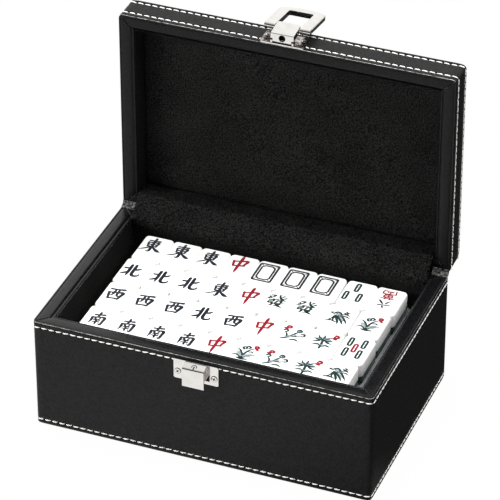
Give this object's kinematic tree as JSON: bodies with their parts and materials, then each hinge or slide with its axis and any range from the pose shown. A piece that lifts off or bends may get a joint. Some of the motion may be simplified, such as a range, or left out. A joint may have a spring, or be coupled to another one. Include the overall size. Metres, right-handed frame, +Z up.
{
  "type": "mahjong case",
  "caption": "Leather-covered mahjong case with hinged lid, toggle draw latch, suede lining, and stacked lift-out trays of engraved tiles.",
  "frame": {"origin": "centre of the base underside of the lower box", "axes": "+X to the right, +Y to the hinge side, +Z up; the latch is on the -Y side"},
  "size_m": [0.25, 0.2122, 0.2558],
  "materials": {
    "leatherette": "satin black, fine grain",
    "suede": "matt black nap",
    "base_felt": "matt",
    "board": "raw fibreboard",
    "nickel": "bright nickel plate",
    "tile_white": "polished",
    "tile_green": "polished",
    "clear_tray": "clear formed sheet"
  },
  "bodies": {
    "case": {"base_board": "board", "front_board": "board", "back_board": "board", "left_board": "board", "right_board": "board", "body_wrap": "leatherette", "base_sheet": "base_felt", "body_lining": "suede", "floor_pad": "suede", "body_rim_front": "leatherette", "body_rim_back": "leatherette", "body_rim_left": "leatherette", "body_rim_right": "leatherette", "hinge_skin": "leatherette", "hinge_gusset": "suede", "strike_hook": "nickel", "strike_screws": "nickel"},
    "lid": {"lid_front_board": "board", "lid_back_board": "board", "lid_left_board": "board", "lid_right_board": "board", "lid_top_board": "board", "lid_wrap": "leatherette", "lid_lining": "suede", "lid_pad": "suede", "lid_rim_front": "leatherette", "lid_rim_back": "leatherette", "lid_rim_left": "leatherette", "lid_rim_right": "leatherette", "latch_base": "nickel", "latch_screws": "nickel", "lever_pin": "nickel"},
    "lever": {"latch_lever": "nickel", "loop_pin": "nickel"},
    "loop": {"latch_loop": "nickel"},
    "tray_stack_1": {"tray_1": "clear_tray", "tile_faces_1": "tile_white", "tile_backs_1": "tile_green"},
    "tray_stack_2": {"tray_2": "clear_tray", "tile_faces_2": "tile_white", "tile_backs_2": "tile_green"},
    "tray_stack_3": {"tray_3": "clear_tray", "tile_faces_3": "tile_white", "tile_backs_3": "tile_green"},
    "tray_stack_4": {"tray_4": "clear_tray", "tile_faces_4": "tile_white", "tile_backs_4": "tile_green"}
  },
  "joints": [
    {"name": "lid_hinge", "type": "hinge", "parent": "case", "child": "lid", "pos_m": [0, 0.0795, 0.0868], "axis": [-1, 0, 0], "range_deg": [-90, 0], "deforming": ["hinge_gusset", "hinge_skin"]},
    {"name": "latch_lever_hinge", "type": "hinge", "parent": "lid", "child": "lever", "pos_m": [-0.0025, 0.0819, 0.2484], "axis": [1, 0, 0], "range_deg": [0, 90]},
    {"name": "latch_loop_hinge", "type": "hinge", "parent": "lever", "child": "loop", "pos_m": [-0.0025, 0.0921, 0.2533], "axis": [-1, 0, 0], "range_deg": [-195.9, 0]},
    {"name": "tray_1_lift", "type": "slide", "parent": "case", "child": "tray_stack_1", "axis": [0, 0, 1], "range_m": [0, 0.095]},
    {"name": "tray_2_lift", "type": "slide", "parent": "tray_stack_1", "child": "tray_stack_2", "axis": [0, 0, 1], "range_m": [0, 0.078]},
    {"name": "tray_3_lift", "type": "slide", "parent": "tray_stack_2", "child": "tray_stack_3", "axis": [0, 0, 1], "range_m": [0, 0.06]},
    {"name": "tray_4_lift", "type": "slide", "parent": "tray_stack_3", "child": "tray_stack_4", "axis": [0, 0, 1], "range_m": [0, 0.043]}
  ]
}
